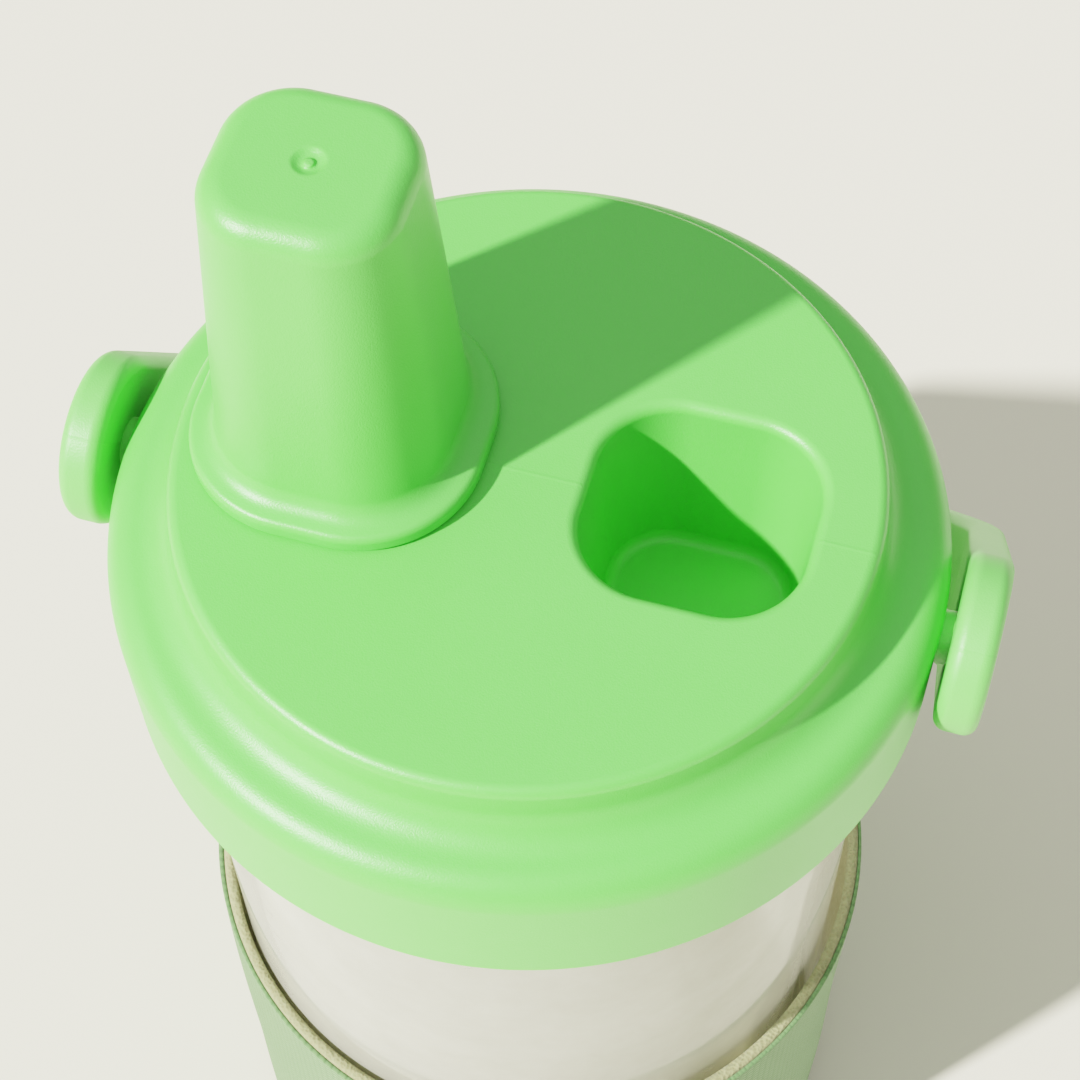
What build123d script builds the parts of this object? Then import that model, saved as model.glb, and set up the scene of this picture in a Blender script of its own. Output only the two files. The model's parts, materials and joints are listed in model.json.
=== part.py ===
from build123d import *
from math import acos, atan, degrees, radians, sin, sqrt, tan
import os

# Kids water bottle: a clear wide-neck body in a soft sleeve, a screw lid with a tall push-on
# spout cap, a square pocket that parks the cap, and a carry handle on two studs.
# Millimetres. Origin at the centre of the face it stands on, +Z up, cap towards -X.

# Sleeve
FOOT_T = 1.0            # rubber foot under the sleeve
FOOT_R = 31.0
BASE_PANEL_T = 2.4      # foam base panel
FOAM_T = 1.3            # inner foam layer of the wall
FABRIC_T = 0.5          # outer knit layer of the wall
BARE_H = 57.0           # clear wall that shows between the lid's skirt and the sleeve
SLEEVE_CORNER = 2.0     # rounding round the bottom of the sleeve
TAPE_W = 6.0            # tape over the seam down the back
TAPE_T = 0.3
LAYER_GAP = 0.05        # between glued or stitched layers
SLEEVE_GAP = 0.8        # between the sleeve and the body

# Clear body
BODY_R = 37.5
BODY_WALL = 2.0
BODY_FLOOR = 3.0
BODY_H = 126.1          # from the body's underside to its rim
NECK_H = 12.8           # from the body's shoulder to its rim
NECK_STEP = 4.3         # how far the neck stands in from the body
BODY_CORNER = 5.0       # rounding round the body's underside
PUNT_R = 22.0           # raised centre under the body
PUNT_H = 1.4
BODY_SHOULDER_EDGE = 1.6
NECK_BLEND = 1.2        # hollow blend at the foot of the neck
RIM_EDGE = 0.6
BORE_BLEND = 1.0        # inside the wall, where it steps in to the neck

# Thread
LEAD = 6.0              # rise of the thread in one turn
RIDGE_H = 1.3           # height of a ridge from its wall
RIDGE_W = 2.2           # width of a ridge at its wall
RIDGE_TIP_W = 1.0
RIDGE_ROOT = 0.4        # how far a ridge is sunk in its wall
THREAD_GAP = 0.35       # between one ridge's tip and the other wall
NECK_THREAD_TURNS = 0.85
LID_THREAD_TURNS = 1.0
LID_THREAD_RISE = 1.4   # middle of the lid's ridge above the insert's lower edge

# Lid
LID_WALL = 2.2
SKIRT_SPACE = 2.95      # between the insert and the skirt
SKIRT_H = 17.7          # from the shoulder down to the skirt's edge
ROLL_R = 3.5            # rolled edge between shoulder and skirt
SHOULDER_FALL = 0.85    # the shoulder slopes down outwards
SHOULDER_W = 7.2        # from the deck's edge out to the skirt
DECK_RISE = 6.4         # the deck above the shoulder
DECK_T = 2.2
DECK_EDGE = 1.2
STEP_BLEND = 4.0        # hollow blend at the foot of the step
STEP_DRAFT = 0.4
SKIRT_EDGE = 0.6
INSERT_PLATE_T = 1.35   # seat plate of the threaded insert
INSERT_WALL = 2.0
INSERT_RISE = 0.6       # insert's lower edge above the skirt's edge
INSERT_EDGE = 0.5
SEAT_LIP = 1.0          # how far the seat plate reaches in past the neck's bore
GASKET_T = 2.0
GASKET_LIP = 0.3
GASKET_GAP = 0.1        # above and below the gasket
GASKET_SIDE_GAP = 0.35

# Parking pocket
PARK_GAP = 2.1          # round the tip of a parked cap, at the deck
POCKET_MARGIN = 0.05    # between the pocket's outside at the deck and the bore of the seat
POCKET_DEPTH = 21.6
POCKET_CORNER = 7.8
POCKET_DRAFT = 3.7      # degrees
POCKET_WALL = 1.6
POCKET_RIM = 1.2
POCKET_FLOOR_BLEND = 2.2

# Spout cap
CAP_MARGIN = 1.9        # between the cap's flange and the deck's edge
CAP_H = 39.1            # from the deck to the cap's top
CAP_W = 23.4            # body of the cap along X, just above its flange
CAP_D = 22.9
CAP_CORNER = 9.1
CAP_DRAFT = 4.2         # degrees
CAP_WALL = 1.8
CAP_TOP_EDGE = 2.6
LEDGE_X = 2.8           # flange beyond the cap's body along X
LEDGE_Y = 2.7
FLANGE_CORNER = 11.5
FLANGE_T = 2.4
FLANGE_RIM = 1.1
FLANGE_BLEND = 1.9
CAP_LIFT = 0.15         # flange clear of the deck
DIMPLE_R = 1.6          # gate mark in the cap's top
DIMPLE_DEPTH = 0.4
NUB_R = 0.5
NUB_H = 0.3
PAD_R = 5.0             # seal pad inside the cap's top
PAD_EDGE = 0.6

# Collar under the cap
COLLAR_GAP = 0.35       # between the collar and the cap
COLLAR_H = 3.2
COLLAR_WALL = 1.4
COLLAR_GROOVE_Z = 1.1   # groove for the collar seal above the deck
COLLAR_GROOVE_H = 1.0
COLLAR_GROOVE_DEPTH = 0.6
COLLAR_SEAL_PROUD = 0.2

# Drinking parts
STEM_WALL = 1.15        # round the straw's socket
STEM_BORE_R = 2.6
STEM_RISE = 22.0        # above the deck
STEM_DROP = 14.0        # below the deck's top
STEM_FLANGE_T = 1.4
STEM_GAP = 0.05
STEM_EDGE = 0.5
STEM_RING_R = 0.75      # section radius of the O-ring
MOUTH_WALL = 1.5
MOUTH_RISE = 35.0       # mouthpiece tip above the deck
MOUTH_FOOT = 3.8        # mouthpiece's lower edge above the deck
MOUTH_HOLE_R = 1.4
MOUTH_BEAD = 0.6
MOUTH_EDGE = 0.5
MOUTH_BLEND = 2.0       # between the waist and the parts that stand out from it
MOUTH_TIP_EDGE = 1.6
PAD_GAP = 0.1
STRAW_R = 3.6
STRAW_WALL = 0.8
STRAW_SOCKET = 8.0      # how far the straw goes into the stem
STRAW_CLEARANCE = 3.5   # straw's end above the body's floor
STRAW_NOTCH_W = 1.6
STRAW_NOTCH_H = 2.6
VALVE_SIDE_GAP = 0.2    # between the valve and the stem's flange
VALVE_STEM_R = 0.85
VALVE_FLANGE_R = 1.7
VALVE_FLANGE_T = 0.9
VALVE_BILL_H = 4.0
VALVE_BILL_TIP = 0.5
VALVE_EDGE = 0.3

# Carry handle
HANDLE_T = 4.4
HANDLE_W = 18.0         # width of the band, and diameter of its round ends
HANDLE_SIDE_GAP = 1.1   # between the lid's skirt and a round end
HANDLE_REACH = 86.4     # from the pivot to the outside of the grip
HANDLE_CORNER = 40.0    # outside radius of the bend
HANDLE_EDGE = 1.35
HANDLE_REST_GAP = 0.55  # between the resting grip and the seam tape
STUD_R = 2.7
STUD_GAP = 0.05
STUD_HEAD_LIP = 1.2
STUD_ROOF = 0.5         # between a stud's head and the underside of the shoulder
STUD_HEAD_T = 1.1
STUD_HEAD_GAP = 0.8     # between the head and the middle of the skirt's inner face
STUD_DEPTH = 3.0        # how far the stud goes into the round end

TOUCH = 0.01            # two heights closer than this are the same height

# Radii that follow
NECK_R = BODY_R - NECK_STEP
NECK_BORE_R = NECK_R - BODY_WALL
SLEEVE_INNER_R = BODY_R + SLEEVE_GAP
FABRIC_INNER_R = SLEEVE_INNER_R + FOAM_T + LAYER_GAP
SLEEVE_R = FABRIC_INNER_R + FABRIC_T
INSERT_BORE_R = NECK_R + RIDGE_H + THREAD_GAP
INSERT_R = INSERT_BORE_R + INSERT_WALL
SEAT_INNER_R = NECK_BORE_R - SEAT_LIP
LID_R = INSERT_R + SKIRT_SPACE + LID_WALL
DECK_R = LID_R - SHOULDER_W
STEM_R = STRAW_R + STEM_GAP + STEM_WALL
STEM_FLANGE_R = STEM_R + 2 * STEM_RING_R + 2 * STEM_GAP
VALVE_OFFSET = STEM_FLANGE_R + VALVE_FLANGE_R + VALVE_SIDE_GAP
STUD_HEAD_R = STUD_R + STUD_HEAD_LIP

# Heights that follow
PANEL_Z = FOOT_T
WALL_Z = PANEL_Z + BASE_PANEL_T + LAYER_GAP
BODY_Z = WALL_Z
RIM_Z = BODY_Z + BODY_H
SEAT_Z = RIM_Z + GASKET_T + 2 * GASKET_GAP
SHOULDER_Z = SEAT_Z + INSERT_PLATE_T + LAYER_GAP + LID_WALL
SKIRT_Z = SHOULDER_Z - SKIRT_H
SLEEVE_TOP_Z = SKIRT_Z - BARE_H
DECK_Z = SHOULDER_Z + DECK_RISE
DECK_UNDER_Z = DECK_Z - DECK_T
INSERT_Z = SKIRT_Z + INSERT_RISE
LID_THREAD_Z = INSERT_Z + LID_THREAD_RISE
CAP_Z = DECK_Z + CAP_LIFT
CAP_TOP_Z = DECK_Z + CAP_H
PIVOT_Z = SHOULDER_Z - LID_WALL - STUD_ROOF - STUD_HEAD_R

# Cap and pocket: the cap stands at the deck's edge, and the pocket takes the cap's tip
TIP_INSET = (CAP_TOP_Z - CAP_Z - FLANGE_T) * tan(radians(CAP_DRAFT))
FLANGE_W = CAP_W + 2 * LEDGE_X
FLANGE_D = CAP_D + 2 * LEDGE_Y
CAP_X = CAP_MARGIN + FLANGE_W / 2 - DECK_R
POCKET_W = CAP_W - 2 * TIP_INSET + 2 * PARK_GAP
POCKET_D = CAP_D - 2 * TIP_INSET + 2 * PARK_GAP
CUP_CORNER_R = POCKET_CORNER + POCKET_WALL
CUP_CORNER_Y = POCKET_D / 2 - POCKET_CORNER
CUP_CORNER_X = sqrt((SEAT_INNER_R - POCKET_MARGIN - CUP_CORNER_R) ** 2 - CUP_CORNER_Y ** 2)
POCKET_X = CUP_CORNER_X + CUP_CORNER_R - POCKET_WALL - POCKET_W / 2

# Handle: the grip swings down until it meets the sleeve
HANDLE_INNER_X = LID_R + HANDLE_SIDE_GAP
HANDLE_OUTER_X = HANDLE_INNER_X + HANDLE_T
GRIP_REACH = HANDLE_REACH - HANDLE_T
GRIP_CLEAR = SLEEVE_R + LAYER_GAP + TAPE_T + HANDLE_REST_GAP
REST_SWING = acos(GRIP_CLEAR / sqrt(GRIP_REACH ** 2 + HANDLE_W ** 2 / 4))
HANDLE_REST = degrees(REST_SWING - atan(HANDLE_W / 2 / GRIP_REACH))

os.makedirs("parts", exist_ok=True)


def turned(points, rounds=()):
    """A piece turned about Z from its (radius, height) corners; rounds gives (corner, radius) pairs."""
    face = make_face(Polyline(*[(r, z) for r, z in points], close=True)).face()
    for corner, radius in rounds:
        vertex = face.vertices().sort_by_distance(Vector(corner[0], corner[1]))[0]
        face = face.fillet_2d(radius, [vertex])
    return revolve(Plane.XZ * face, Axis.Z)


def ring(inner, outer, low, high, edge=0.0):
    """A plain ring with all four of its edges rounded by edge."""
    corners = [(inner, low), (outer, low), (outer, high), (inner, high)]
    return turned(corners, [(corner, edge) for corner in corners] if edge else ())


def rounded_block(x, z, width, depth, corner, height, draft=0.0):
    """A rounded-square block on height z; a negative height goes down, and draft narrows it."""
    inset = abs(height) * tan(radians(draft))
    start = Pos(x, 0, z) * RectangleRounded(width, depth, corner)
    end = Pos(x, 0, z + height) * RectangleRounded(width - 2 * inset, depth - 2 * inset, corner - inset)
    return loft([start.face(), end.face()], ruled=True)


def edges_at(shape, z):
    """The edges that lie level at height z."""
    return shape.edges().filter_by_position(Axis.Z, z - TOUCH, z + TOUCH)


def ridge(wall_r, outward, start_z, turns):
    """One screw ridge on a cylinder wall, standing outward (1) or inward (-1)."""
    root = wall_r - outward * RIDGE_ROOT
    tip = wall_r + outward * RIDGE_H
    slope = (RIDGE_W - RIDGE_TIP_W) / 2 / RIDGE_H
    root_half = RIDGE_W / 2 + slope * RIDGE_ROOT
    path = Helix(pitch=LEAD, height=LEAD * turns, radius=wall_r, center=(0, 0, start_z))
    corners = [(root, -root_half), (tip, -RIDGE_TIP_W / 2), (tip, RIDGE_TIP_W / 2), (root, root_half)]
    section = Plane.XZ * make_face(Polyline(*[(r, start_z + z) for r, z in corners], close=True))
    return sweep(section, path=path, is_frenet=True)


def bottle_body():
    inner_r = BODY_R - BODY_WALL
    shoulder_z = RIM_Z - NECK_H
    floor_z = BODY_Z + BODY_FLOOR
    under = (BODY_R, BODY_Z)
    shoulder_out = (BODY_R, shoulder_z)
    shoulder_in = (NECK_R, shoulder_z)
    rim_out = (NECK_R, RIM_Z)
    rim_in = (NECK_BORE_R, RIM_Z)
    bore_low = (NECK_BORE_R, shoulder_z - BODY_WALL)
    inner_top = (inner_r, shoulder_z - BODY_WALL)
    inner_low = (inner_r, floor_z)
    body = turned(
        [(0, BODY_Z + PUNT_H), (PUNT_R, BODY_Z + PUNT_H), (PUNT_R + PUNT_H, BODY_Z), under, shoulder_out,
         shoulder_in, rim_out, rim_in, bore_low, inner_top, inner_low, (0, floor_z)],
        [(under, BODY_CORNER), (shoulder_out, BODY_SHOULDER_EDGE), (shoulder_in, NECK_BLEND),
         (rim_out, RIM_EDGE), (rim_in, RIM_EDGE), (bore_low, BORE_BLEND), (inner_top, BORE_BLEND),
         (inner_low, BODY_CORNER - BODY_WALL)])
    return body + ridge(NECK_R, 1, LID_THREAD_Z + LEAD / 2, NECK_THREAD_TURNS)


def sleeve_foam():
    return ring(SLEEVE_INNER_R, SLEEVE_INNER_R + FOAM_T, WALL_Z, SLEEVE_TOP_Z, FOAM_T / 4)


def sleeve_fabric():
    return ring(FABRIC_INNER_R, SLEEVE_R, WALL_Z, SLEEVE_TOP_Z - FOAM_T / 4, FABRIC_T / 4)


def sleeve_base():
    low = (SLEEVE_R, PANEL_Z)
    return turned([(0, PANEL_Z), low, (SLEEVE_R, WALL_Z - LAYER_GAP), (0, WALL_Z - LAYER_GAP)],
                  [(low, SLEEVE_CORNER)])


def sleeve_foot():
    low = (FOOT_R, 0)
    return turned([(0, 0), low, (FOOT_R, FOOT_T), (0, FOOT_T)], [(low, FOOT_T / 2)])


def seam_tape():
    inner = SLEEVE_R + LAYER_GAP
    strip = ring(inner, inner + TAPE_T, WALL_Z, SLEEVE_TOP_Z - FOAM_T)
    window = Pos(0, inner, (WALL_Z + SLEEVE_TOP_Z) / 2) * Box(TAPE_W, inner, SLEEVE_TOP_Z)
    return strip & window


def lid_cover():
    skirt_out = (LID_R, SKIRT_Z)
    roll = (LID_R, SHOULDER_Z - SHOULDER_FALL)
    step_foot = (DECK_R + STEP_DRAFT, SHOULDER_Z)
    deck_edge = (DECK_R, DECK_Z)
    deck_inner = (DECK_R - LID_WALL, DECK_UNDER_Z)
    step_inner = (DECK_R + STEP_DRAFT - LID_WALL, SHOULDER_Z - LID_WALL)
    skirt_in_r = LID_R - LID_WALL
    roll_inner = (skirt_in_r, SHOULDER_Z - LID_WALL)
    skirt_in = (skirt_in_r, SKIRT_Z)
    cover = turned(
        [(0, DECK_Z), deck_edge, step_foot, roll, skirt_out, skirt_in, roll_inner, step_inner,
         deck_inner, (0, DECK_UNDER_Z)],
        [(deck_edge, DECK_EDGE), (step_foot, STEP_BLEND), (roll, ROLL_R), (roll_inner, ROLL_R - LID_WALL),
         (skirt_out, SKIRT_EDGE), (skirt_in, SKIRT_EDGE), (deck_inner, DECK_EDGE)])
    cover += pocket_cup()
    cover += collar()
    cover -= Pos(CAP_X, 0, DECK_Z) * Cylinder(STEM_R + STEM_GAP, 4 * DECK_T)
    cover -= at_valve(DECK_Z) * Cylinder(VALVE_STEM_R + STEM_GAP, 4 * DECK_T)
    for side in (-1, 1):
        cover -= Pos(side * LID_R, 0, PIVOT_Z) * Rot(0, 90, 0) * Cylinder(STUD_R + STUD_GAP, 3 * LID_WALL)
    cavity = pocket_cavity()
    cover -= cavity
    rim = [edge for edge in edges_at(cover, DECK_Z)
           if abs(edge.center().X - POCKET_X) < POCKET_W / 2 + POCKET_RIM and edge.length < POCKET_W]
    return fillet(rim, POCKET_RIM)


def pocket_cavity():
    cavity = rounded_block(POCKET_X, DECK_Z, POCKET_W, POCKET_D, POCKET_CORNER, -POCKET_DEPTH, POCKET_DRAFT)
    return fillet(edges_at(cavity, DECK_Z - POCKET_DEPTH), POCKET_FLOOR_BLEND)


def pocket_cup():
    top_z = DECK_Z - DECK_T / 2
    spread = 2 * POCKET_WALL
    cup = rounded_block(POCKET_X, top_z, POCKET_W + spread, POCKET_D + spread, POCKET_CORNER + POCKET_WALL,
                        -(POCKET_DEPTH + POCKET_WALL - DECK_T / 2), POCKET_DRAFT)
    return fillet(edges_at(cup, DECK_Z - POCKET_DEPTH - POCKET_WALL), POCKET_FLOOR_BLEND)


def collar_outline(inset, z, height):
    """The rounded square inside the cap's mouth, less inset all round."""
    shrink = 2 * (CAP_WALL + COLLAR_GAP + inset)
    corner = CAP_CORNER - CAP_WALL - COLLAR_GAP - inset
    return rounded_block(CAP_X, z, CAP_W - shrink, CAP_D - shrink, corner, height)


def collar():
    sunk = DECK_T / 2
    wall = collar_outline(0, DECK_Z - sunk, COLLAR_H + sunk)
    wall = fillet(edges_at(wall, DECK_Z + COLLAR_H), COLLAR_WALL / 3)
    wall -= collar_outline(COLLAR_WALL, DECK_Z, COLLAR_H)
    groove = collar_outline(-COLLAR_WALL, DECK_Z + COLLAR_GROOVE_Z, COLLAR_GROOVE_H)
    groove -= collar_outline(COLLAR_GROOVE_DEPTH, DECK_Z + COLLAR_GROOVE_Z, COLLAR_GROOVE_H)
    return wall - groove


def collar_seal():
    low = DECK_Z + COLLAR_GROOVE_Z + LAYER_GAP
    height = COLLAR_GROOVE_H - 2 * LAYER_GAP
    seal = collar_outline(-COLLAR_SEAL_PROUD, low, height)
    return seal - collar_outline(COLLAR_GROOVE_DEPTH - LAYER_GAP, low, height)


def lid_insert():
    plate_top = SEAT_Z + INSERT_PLATE_T
    bore_low = (INSERT_BORE_R, INSERT_Z)
    insert = turned(
        [(SEAT_INNER_R, SEAT_Z), (INSERT_BORE_R, SEAT_Z), bore_low, (INSERT_R, INSERT_Z),
         (INSERT_R, plate_top), (SEAT_INNER_R, plate_top)],
        [(bore_low, INSERT_EDGE), ((INSERT_R, INSERT_Z), INSERT_EDGE), ((INSERT_R, plate_top), INSERT_EDGE)])
    return insert + ridge(INSERT_BORE_R, -1, LID_THREAD_Z, LID_THREAD_TURNS)


def lid_gasket():
    low = RIM_Z + GASKET_GAP
    return ring(NECK_BORE_R - GASKET_LIP, INSERT_BORE_R - GASKET_SIDE_GAP, low, low + GASKET_T, GASKET_T / 4)


def spout_cap():
    body_z = CAP_Z + FLANGE_T
    body = rounded_block(CAP_X, body_z, CAP_W, CAP_D, CAP_CORNER, CAP_TOP_Z - body_z, CAP_DRAFT)
    body = fillet(edges_at(body, CAP_TOP_Z), CAP_TOP_EDGE)
    cap = body + rounded_block(CAP_X, CAP_Z, FLANGE_W, FLANGE_D, FLANGE_CORNER, FLANGE_T)
    foot = [edge for edge in edges_at(cap, body_z) if edge_reach(edge) < FLANGE_D / 2 - FLANGE_T / 10]
    cap = fillet(foot, FLANGE_BLEND)
    rim = [edge for edge in edges_at(cap, body_z) if edge_reach(edge) > FLANGE_D / 2 - FLANGE_T / 10]
    cap = fillet(rim, FLANGE_RIM)
    cap = fillet(edges_at(cap, CAP_Z), FLANGE_RIM / 2)
    cap -= cap_cavity()
    ball_r = (DIMPLE_R ** 2 + DIMPLE_DEPTH ** 2) / (2 * DIMPLE_DEPTH)
    cap -= Pos(CAP_X, 0, CAP_TOP_Z - DIMPLE_DEPTH + ball_r) * Sphere(ball_r)
    nub_h = NUB_H + DIMPLE_DEPTH / 2
    nub = Pos(CAP_X, 0, CAP_TOP_Z - DIMPLE_DEPTH - DIMPLE_DEPTH / 2 + nub_h / 2) * Cylinder(NUB_R, nub_h)
    return cap + nub


def edge_reach(edge):
    """How far the middle of an edge is from the cap's centre line."""
    middle = edge.position_at(0.5)
    return sqrt((middle.X - CAP_X) ** 2 + middle.Y ** 2)


def cap_cavity():
    flare = 2 * FLANGE_T * sin(radians(CAP_DRAFT))
    width = CAP_W - 2 * CAP_WALL + flare
    depth = CAP_D - 2 * CAP_WALL + flare
    height = CAP_TOP_Z - CAP_Z - CAP_WALL
    cavity = rounded_block(CAP_X, CAP_Z, width, depth, CAP_CORNER - CAP_WALL, height, CAP_DRAFT)
    return fillet(edges_at(cavity, CAP_Z + height), CAP_TOP_EDGE - CAP_WALL / 2)


def cap_pad():
    top = CAP_TOP_Z - CAP_WALL - LAYER_GAP
    low = DECK_Z + MOUTH_RISE + PAD_GAP
    return turned([(0, low), (PAD_R, low), (PAD_R, top), (0, top)], [((PAD_R, low), PAD_EDGE)]).moved(
        Location((CAP_X, 0, 0)))


def at_stem(shape):
    return Pos(CAP_X, 0, 0) * shape


def at_valve(z):
    step = VALVE_OFFSET / sqrt(2)
    return Pos(CAP_X + step, step, z)


def spout_stem():
    socket_r = STRAW_R + STEM_GAP
    low = DECK_Z - STEM_DROP
    top = DECK_Z + STEM_RISE
    flange_top = DECK_UNDER_Z - 2 * STEM_RING_R - STEM_GAP
    flange_low = flange_top - STEM_FLANGE_T
    profile = [(STEM_BORE_R, top), (STEM_R, top), (STEM_R, flange_top), (STEM_FLANGE_R, flange_top),
               (STEM_FLANGE_R, flange_low), (STEM_R, flange_low), (STEM_R, low), (socket_r, low),
               (socket_r, low + STRAW_SOCKET + LAYER_GAP), (STEM_BORE_R, low + STRAW_SOCKET + LAYER_GAP)]
    return at_stem(turned(profile, [((STEM_R, top), STEM_EDGE), ((STEM_R, low), STEM_EDGE)]))


def stem_ring():
    section_r = STEM_RING_R - STEM_GAP / 2
    torus = Torus(STEM_R + STEM_GAP + STEM_RING_R, section_r)
    return at_stem(Pos(0, 0, DECK_UNDER_Z - STEM_RING_R - STEM_GAP / 2) * torus)


def mouthpiece():
    bore = STEM_R + STEM_GAP
    out = bore + MOUTH_WALL
    foot = DECK_Z + MOUTH_FOOT
    seat = DECK_Z + STEM_RISE + STEM_GAP
    tip = DECK_Z + MOUTH_RISE
    waist = out - MOUTH_BEAD
    bead_h = 3 * MOUTH_BEAD
    profile = [(bore, foot), (out, foot), (out, foot + bead_h), (waist, foot + 2 * bead_h),
               (waist, seat + bead_h), (out, tip - 2 * bead_h), (out - 2 * MOUTH_BEAD, tip),
               (MOUTH_HOLE_R, tip), (MOUTH_HOLE_R, tip - MOUTH_WALL),
               (out - MOUTH_WALL - MOUTH_BEAD, tip - MOUTH_WALL - bead_h), (STEM_BORE_R, seat), (bore, seat)]
    rounds = [((out, foot), MOUTH_EDGE), ((out, foot + bead_h), MOUTH_BLEND / 2),
              ((waist, foot + 2 * bead_h), MOUTH_BLEND), ((waist, seat + bead_h), 2 * MOUTH_BLEND),
              ((out, tip - 2 * bead_h), MOUTH_BLEND), ((out - 2 * MOUTH_BEAD, tip), MOUTH_TIP_EDGE)]
    return at_stem(turned(profile, rounds))


def straw():
    top = DECK_Z - STEM_DROP + STRAW_SOCKET
    low = BODY_Z + BODY_FLOOR + STRAW_CLEARANCE
    tube = ring(STRAW_R - STRAW_WALL, STRAW_R, low, top)
    for turn in (0, 90):
        tube -= Pos(0, 0, low) * Rot(0, 0, turn) * Box(STRAW_NOTCH_W, 3 * STRAW_R, 2 * STRAW_NOTCH_H)
    return at_stem(tube)


def vent_valve():
    top = DECK_Z - STEM_GAP
    under = DECK_UNDER_Z - STEM_GAP
    flange_low = under - VALVE_FLANGE_T
    tip = flange_low - VALVE_BILL_H
    edge = (VALVE_FLANGE_R, flange_low)
    valve = turned([(0, top), (VALVE_STEM_R, top), (VALVE_STEM_R, under), (VALVE_FLANGE_R, under),
                    edge, (0, flange_low)], [(edge, VALVE_EDGE)])
    root_face = Pos(0, 0, flange_low) * Rectangle(2 * VALVE_STEM_R, 2 * VALVE_STEM_R)
    tip_face = Pos(0, 0, tip) * Rectangle(2 * VALVE_FLANGE_R, VALVE_BILL_TIP)
    bill = loft([root_face.face(), tip_face.face()])
    return at_valve(0) * (valve + bill)


def handle():
    """The band lies level with its grip towards +Y, then swings down behind the sleeve."""
    half_w = HANDLE_W / 2
    outline = handle_outline(HANDLE_OUTER_X, HANDLE_REACH, HANDLE_CORNER)
    outline -= handle_outline(HANDLE_INNER_X, HANDLE_REACH - HANDLE_T, HANDLE_CORNER - HANDLE_T)
    band = extrude(Pos(0, 0, -half_w) * outline, amount=HANDLE_W)
    side = Plane.YZ * (Circle(half_w) + Pos(HANDLE_REACH, 0) * Rectangle(2 * HANDLE_REACH, HANDLE_W))
    band = band & extrude(side, amount=2 * HANDLE_OUTER_X, both=True)
    band = fillet(band_edges(band), HANDLE_EDGE)
    for way in (-1, 1):
        bore_end = HANDLE_INNER_X + STUD_DEPTH + STUD_GAP
        bore = Pos(way * bore_end / 2, 0, 0) * Rot(0, 90, 0) * Cylinder(STUD_R + STUD_GAP, bore_end)
        band -= bore
    return Pos(0, 0, PIVOT_Z) * Rot(-HANDLE_REST, 0, 0) * band


def handle_outline(half_x, reach, corner):
    """A level outline from below the round ends to the grip, its two far corners rounded."""
    tail = HANDLE_W
    outline = Pos(0, (reach - tail) / 2) * Rectangle(2 * half_x, reach + tail)
    far = outline.vertices().sort_by(Axis.Y)[-2:]
    return fillet(far, corner)


def band_edges(band):
    """The long edges round the band, without those across its thickness."""
    half_w = HANDLE_W / 2
    chosen = []
    for edge in band.edges():
        middle = edge.position_at(0.5)
        on_side = abs(abs(middle.Z) - half_w) < TOUCH
        on_round = edge.geom_type == GeomType.CIRCLE and middle.Y < 0
        across = abs(edge.tangent_at(0.5).X) > 1 - TOUCH and middle.Y < HANDLE_EDGE
        if (on_side or on_round) and not across:
            chosen.append(edge)
    return chosen


def stud(way):
    """A headed pin from inside the skirt, through it and into a round end of the handle."""
    head_outer_x = LID_R - LID_WALL - STUD_HEAD_GAP
    head_inner_x = head_outer_x - STUD_HEAD_T
    end_x = HANDLE_INNER_X + STUD_DEPTH
    shaft = Pos(way * (head_inner_x + end_x) / 2, 0, PIVOT_Z) * Rot(0, 90, 0)
    head = Pos(way * (head_inner_x + head_outer_x) / 2, 0, PIVOT_Z) * Rot(0, 90, 0)
    return shaft * Cylinder(STUD_R, end_x - head_inner_x) + head * Cylinder(STUD_HEAD_R, STUD_HEAD_T)


nodes = {
    "bottle_body": bottle_body(),
    "sleeve_foam": sleeve_foam(),
    "sleeve_fabric": sleeve_fabric(),
    "sleeve_base": sleeve_base(),
    "sleeve_foot": sleeve_foot(),
    "sleeve_seam_tape": seam_tape(),
    "lid_cover": lid_cover(),
    "lid_insert": lid_insert(),
    "lid_gasket": lid_gasket(),
    "spout_stem": spout_stem(),
    "stem_ring": stem_ring(),
    "mouthpiece": mouthpiece(),
    "straw": straw(),
    "vent_valve": vent_valve(),
    "collar_seal": collar_seal(),
    "spout_cap": spout_cap(),
    "cap_pad": cap_pad(),
    "handle": handle(),
    "handle_stud_left": stud(-1),
    "handle_stud_right": stud(1),
}
for name, shape in nodes.items():
    export_step(shape, f"parts/{name}.step")
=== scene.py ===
"""Looks of a kids water bottle: moulded green lid, cap and carry handle, clear body, knitted sleeve.

Everything is in metres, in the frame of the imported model: +Z up, cap towards -X, handle behind at +Y.
"""

import json
import math

import bmesh
import bpy
from mathutils import Matrix, Vector


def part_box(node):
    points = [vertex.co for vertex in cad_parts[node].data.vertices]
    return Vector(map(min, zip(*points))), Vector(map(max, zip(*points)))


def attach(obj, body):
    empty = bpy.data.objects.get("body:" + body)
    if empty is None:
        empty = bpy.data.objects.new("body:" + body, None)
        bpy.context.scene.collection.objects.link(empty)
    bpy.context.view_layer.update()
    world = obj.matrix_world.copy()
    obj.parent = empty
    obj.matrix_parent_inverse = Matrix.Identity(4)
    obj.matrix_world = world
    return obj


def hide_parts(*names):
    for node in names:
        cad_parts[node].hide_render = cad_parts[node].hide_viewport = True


MM = 0.001
TURN = 2 * math.pi

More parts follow.
